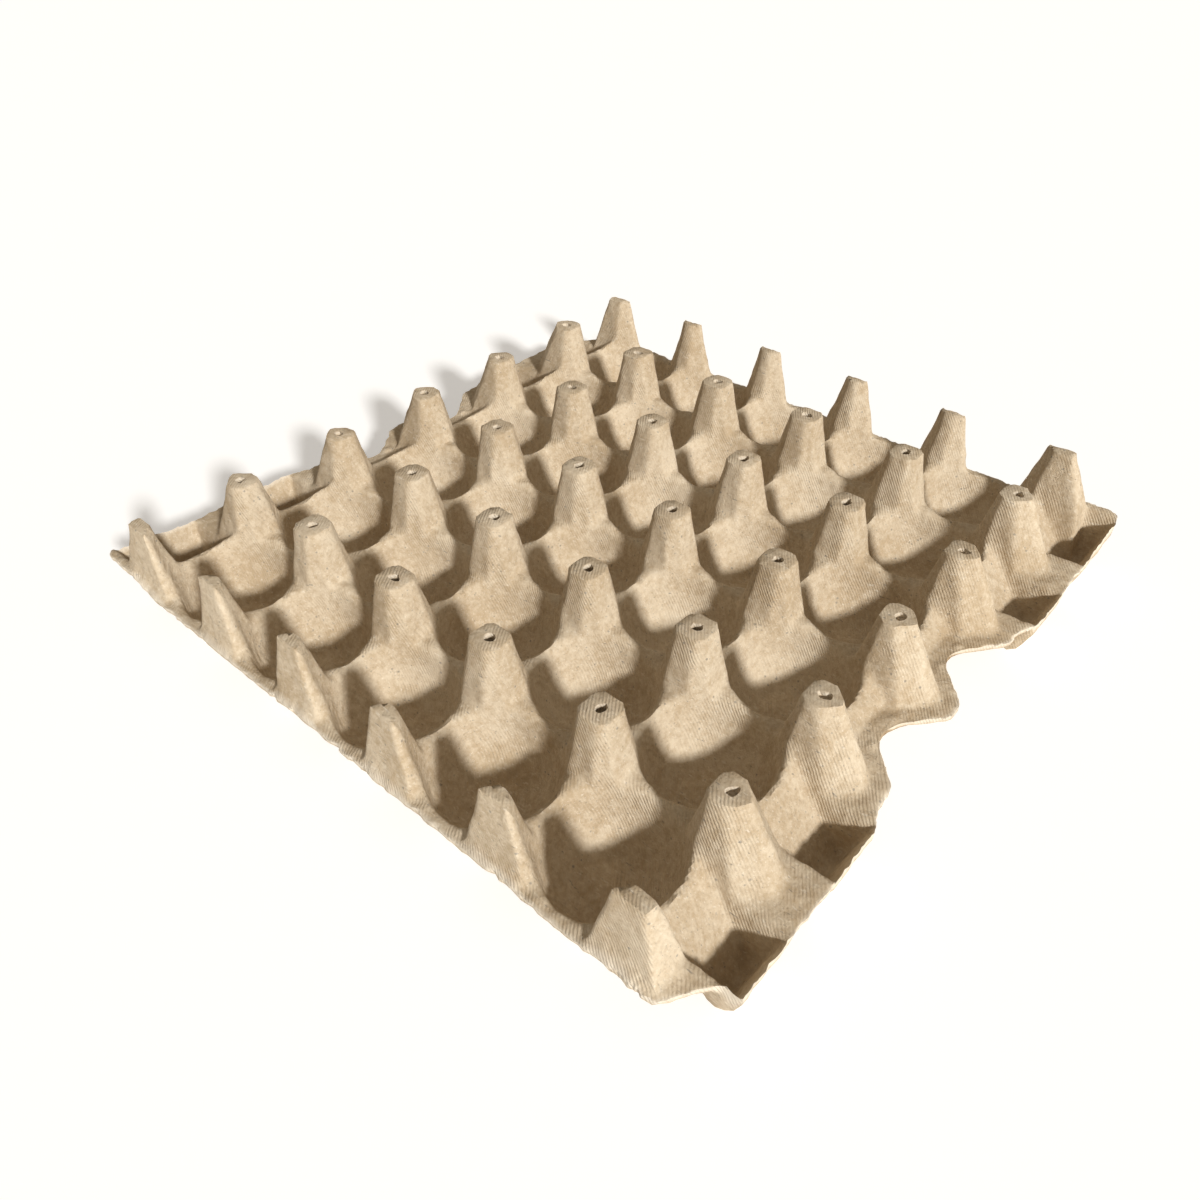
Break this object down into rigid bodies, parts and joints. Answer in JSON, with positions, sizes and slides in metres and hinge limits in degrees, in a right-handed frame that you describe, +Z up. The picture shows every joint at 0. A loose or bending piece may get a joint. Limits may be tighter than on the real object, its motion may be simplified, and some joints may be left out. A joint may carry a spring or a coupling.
{
  "type": "moulded pulp egg tray",
  "caption": "Square moulded-pulp tray with rows of round egg cells between hollow vented posts, wide pocketed flanges at two ends and narrow rims along the sides.",
  "frame": {"origin": "middle of the tray at the level of the undersides of the cells, on which it rests", "axes": "+Z up; +X along the five cells to one wide flange; +Y along the six cells"},
  "size_m": [0.297, 0.29, 0.047],
  "materials": {
    "moulded_pulp": "matt, fibrous moulded pulp with fine screen marks"
  },
  "bodies": {
    "root": {"egg_tray": "moulded_pulp"}
  },
  "joints": []
}
